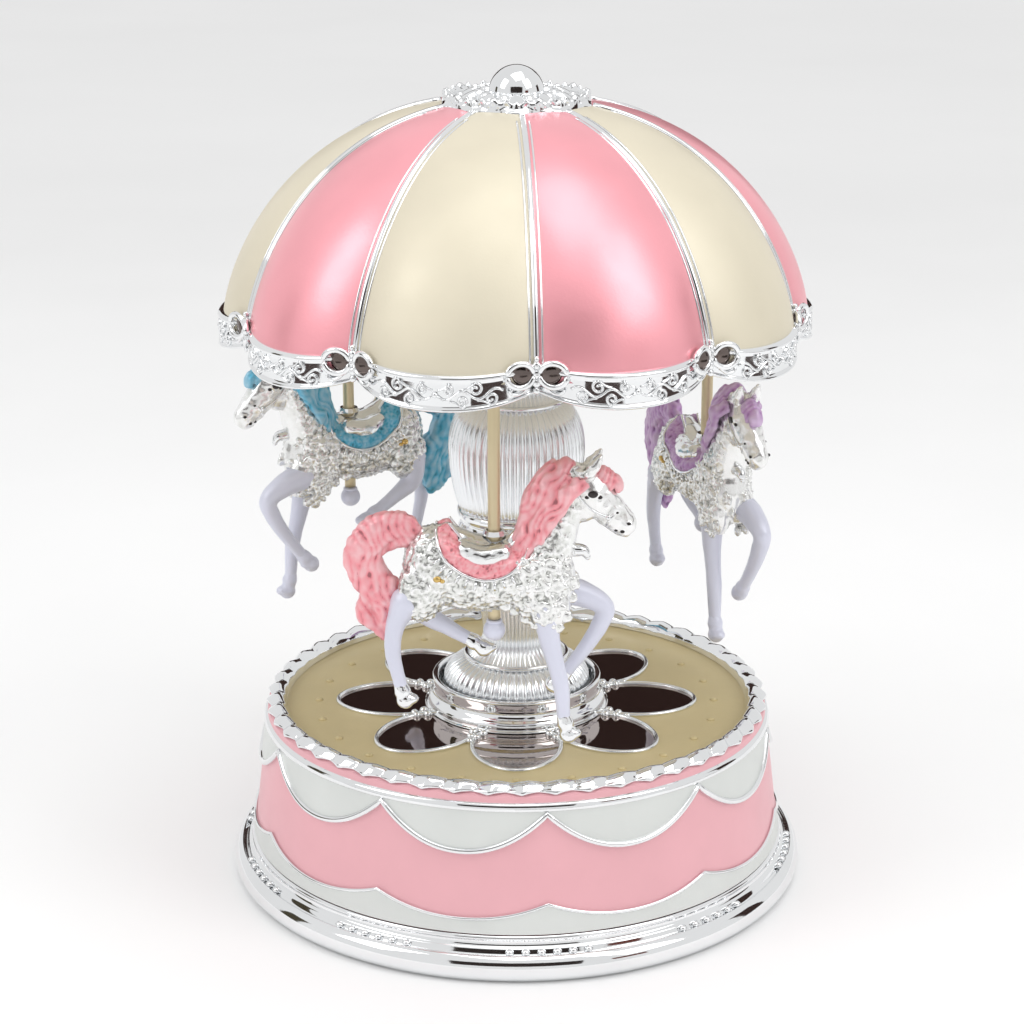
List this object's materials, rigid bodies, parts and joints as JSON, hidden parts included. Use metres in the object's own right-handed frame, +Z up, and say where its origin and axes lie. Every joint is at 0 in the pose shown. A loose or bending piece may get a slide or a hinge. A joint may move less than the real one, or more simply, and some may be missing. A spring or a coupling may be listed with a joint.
{
  "type": "wind-up carousel music box",
  "caption": "Round carousel music box with a lobed canopy, ribbed column, poles with swivelling horses, and a spring movement wound by a key under the base.",
  "frame": {"origin": "centre of the circle the base stands on", "axes": "+Z up the column; -Y towards the viewer, +X to the viewer's right"},
  "size_m": [0.12, 0.12, 0.1676],
  "materials": {
    "chrome": "bright plated silver",
    "pink": "satin pink lacquer",
    "cream": "satin cream lacquer",
    "pole": "pale gold lacquer",
    "horse": "pearl white and silver, with tinted mane, tail and saddle",
    "steel": "bare steel",
    "zinc": "dull cast zinc",
    "brass": "polished",
    "black_plastic": "fine grained",
    "nylon": "moulded",
    "satin": "satin"
  },
  "bodies": {
    "base": {"base_skirt": "chrome", "drum_shell": "pink", "deck_plate": "cream", "deck_bezel": "chrome", "bottom_cover": "black_plastic", "cover_screw_1": "steel", "cover_screw_2": "steel", "cover_screw_3": "steel", "bedplate": "zinc", "movement_screw_1": "steel", "movement_screw_2": "steel", "movement_screw_3": "steel", "barrel_bridge": "zinc", "cylinder_bracket_inner": "zinc", "cylinder_bracket_outer": "zinc", "comb": "steel", "comb_screw_1": "steel", "comb_screw_2": "steel", "governor_frame": "black_plastic", "clutch_spring": "steel", "column_cup": "chrome", "column_foot": "chrome", "column_stem": "chrome", "column_vase": "chrome", "cam_disc": "nylon"},
    "carousel": {"spring_barrel": "brass", "crown_wheel": "brass", "mainspring": "steel", "drive_rod": "steel", "canopy_ceiling": "satin", "canopy_valance": "chrome", "canopy_dome": "cream", "crown_collar": "chrome", "finial_ball": "chrome"},
    "winder": {"winding_key": "brass", "winding_arbor": "steel"},
    "music_cylinder": {"pinned_cylinder": "brass", "cylinder_arbor": "steel", "cylinder_pinion": "nylon", "cylinder_wheel": "nylon"},
    "governor_wheel": {"governor_pinion": "nylon", "governor_arbor": "steel", "worm_wheel": "nylon"},
    "governor_fan": {"governor_worm": "steel", "air_brake": "black_plastic"},
    "lift_pink": {"pole_pink": "pole", "follower_arm_pink": "brass", "pole_ball_pink": "horse", "saddle_collar_pink": "chrome"},
    "rider_pink": {"horse_pink": "horse"},
    "lift_purple": {"pole_purple": "pole", "follower_arm_purple": "brass", "pole_ball_purple": "horse", "saddle_collar_purple": "chrome"},
    "rider_purple": {"horse_purple": "horse"},
    "lift_blue": {"pole_blue": "pole", "follower_arm_blue": "brass", "pole_ball_blue": "horse", "saddle_collar_blue": "chrome"},
    "rider_blue": {"horse_blue": "horse"}
  },
  "joints": [
    {"name": "carousel_spin", "type": "hinge", "parent": "base", "child": "carousel", "pos_m": [0, 0, 0.117], "axis": [0, 0, 1], "continuous": true},
    {"name": "winding_key_turn", "type": "hinge", "parent": "base", "child": "winder", "pos_m": [0, 0, 0.008], "axis": [0, 0, 1], "continuous": true},
    {"name": "cylinder_spin", "type": "hinge", "parent": "base", "child": "music_cylinder", "pos_m": [0.024, 0, 0.0242], "axis": [1, 0, 0], "continuous": true},
    {"name": "governor_wheel_spin", "type": "hinge", "parent": "base", "child": "governor_wheel", "pos_m": [0.038, 0.009, 0.0242], "axis": [1, 0, 0], "continuous": true},
    {"name": "governor_fan_spin", "type": "hinge", "parent": "base", "child": "governor_fan", "pos_m": [0.0386, 0.0136, 0.022], "axis": [0, 0, 1], "continuous": true},
    {"name": "pink_lift", "type": "slide", "parent": "carousel", "child": "lift_pink", "axis": [0, 0, 1], "range_m": [-0.00089, 0.00491]},
    {"name": "pink_swivel", "type": "hinge", "parent": "lift_pink", "child": "rider_pink", "pos_m": [-0.00422, -0.0438, 0.08479], "axis": [0, 0, 1], "continuous": true},
    {"name": "purple_lift", "type": "slide", "parent": "carousel", "child": "lift_purple", "axis": [0, 0, 1], "range_m": [-0.0021, 0.0037]},
    {"name": "purple_swivel", "type": "hinge", "parent": "lift_purple", "child": "rider_purple", "pos_m": [0.04004, 0.01825, 0.086], "axis": [0, 0, 1], "continuous": true},
    {"name": "blue_lift", "type": "slide", "parent": "carousel", "child": "lift_blue", "axis": [0, 0, 1], "range_m": [-0.00571, 0.00009]},
    {"name": "blue_swivel", "type": "hinge", "parent": "lift_blue", "child": "rider_blue", "pos_m": [-0.03582, 0.02555, 0.08962], "axis": [0, 0, 1], "continuous": true}
  ],
  "couplings": [
    {"joint": "cylinder_spin", "follows": "carousel_spin", "ratio": 3},
    {"joint": "governor_wheel_spin", "follows": "carousel_spin", "ratio": -6},
    {"joint": "governor_fan_spin", "follows": "carousel_spin", "ratio": 72}
  ]
}
